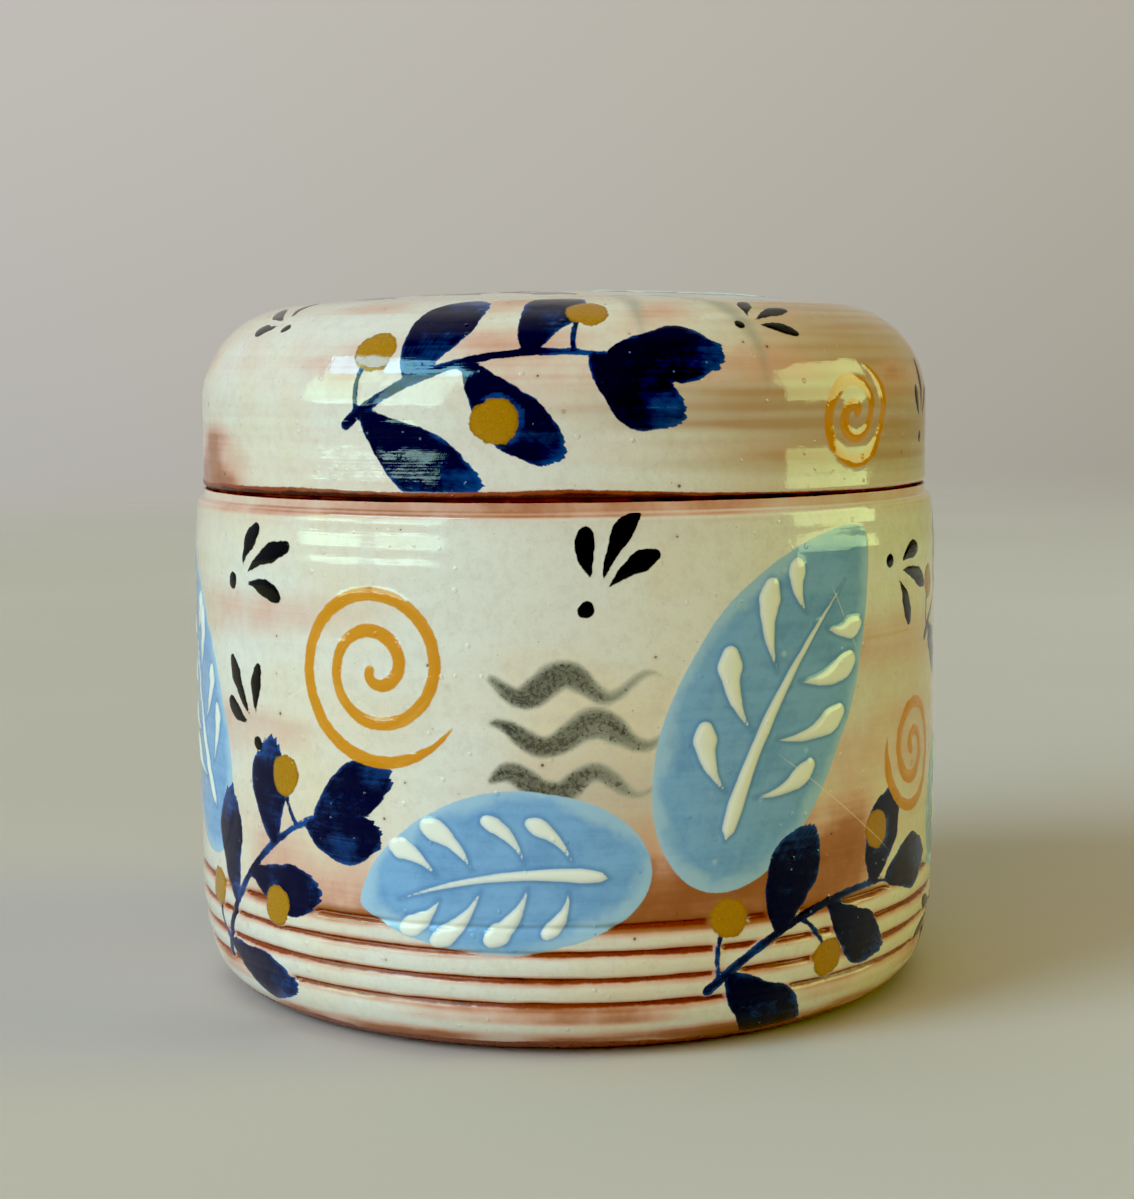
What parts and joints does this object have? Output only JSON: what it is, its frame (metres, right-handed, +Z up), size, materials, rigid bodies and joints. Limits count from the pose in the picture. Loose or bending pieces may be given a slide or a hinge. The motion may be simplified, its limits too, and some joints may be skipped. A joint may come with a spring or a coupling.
{
  "type": "biscuit jar",
  "caption": "Straight-sided thrown earthenware jar with turned rings round its heel, and a domed cap lid that lifts off its collar.",
  "frame": {"origin": "centre of the foot ring, on the surface that the jar stands on", "axes": "+Z up along the axis that both pieces were turned about; -Y faces the front of the decoration"},
  "size_m": [0.15, 0.15, 0.138],
  "materials": {
    "slip_glaze": "glossy clear glaze over brushed cream slip on red clay, with painted decoration",
    "bare_clay": "unglazed fired red clay, matt and slightly sandy"
  },
  "bodies": {
    "pot": {"jar_body": "slip_glaze"},
    "lid": {"lid": "slip_glaze"}
  },
  "joints": [
    {"name": "lid_lift", "type": "slide", "parent": "pot", "child": "lid", "axis": [0, 0, 1], "range_m": [0, 0.12]}
  ]
}
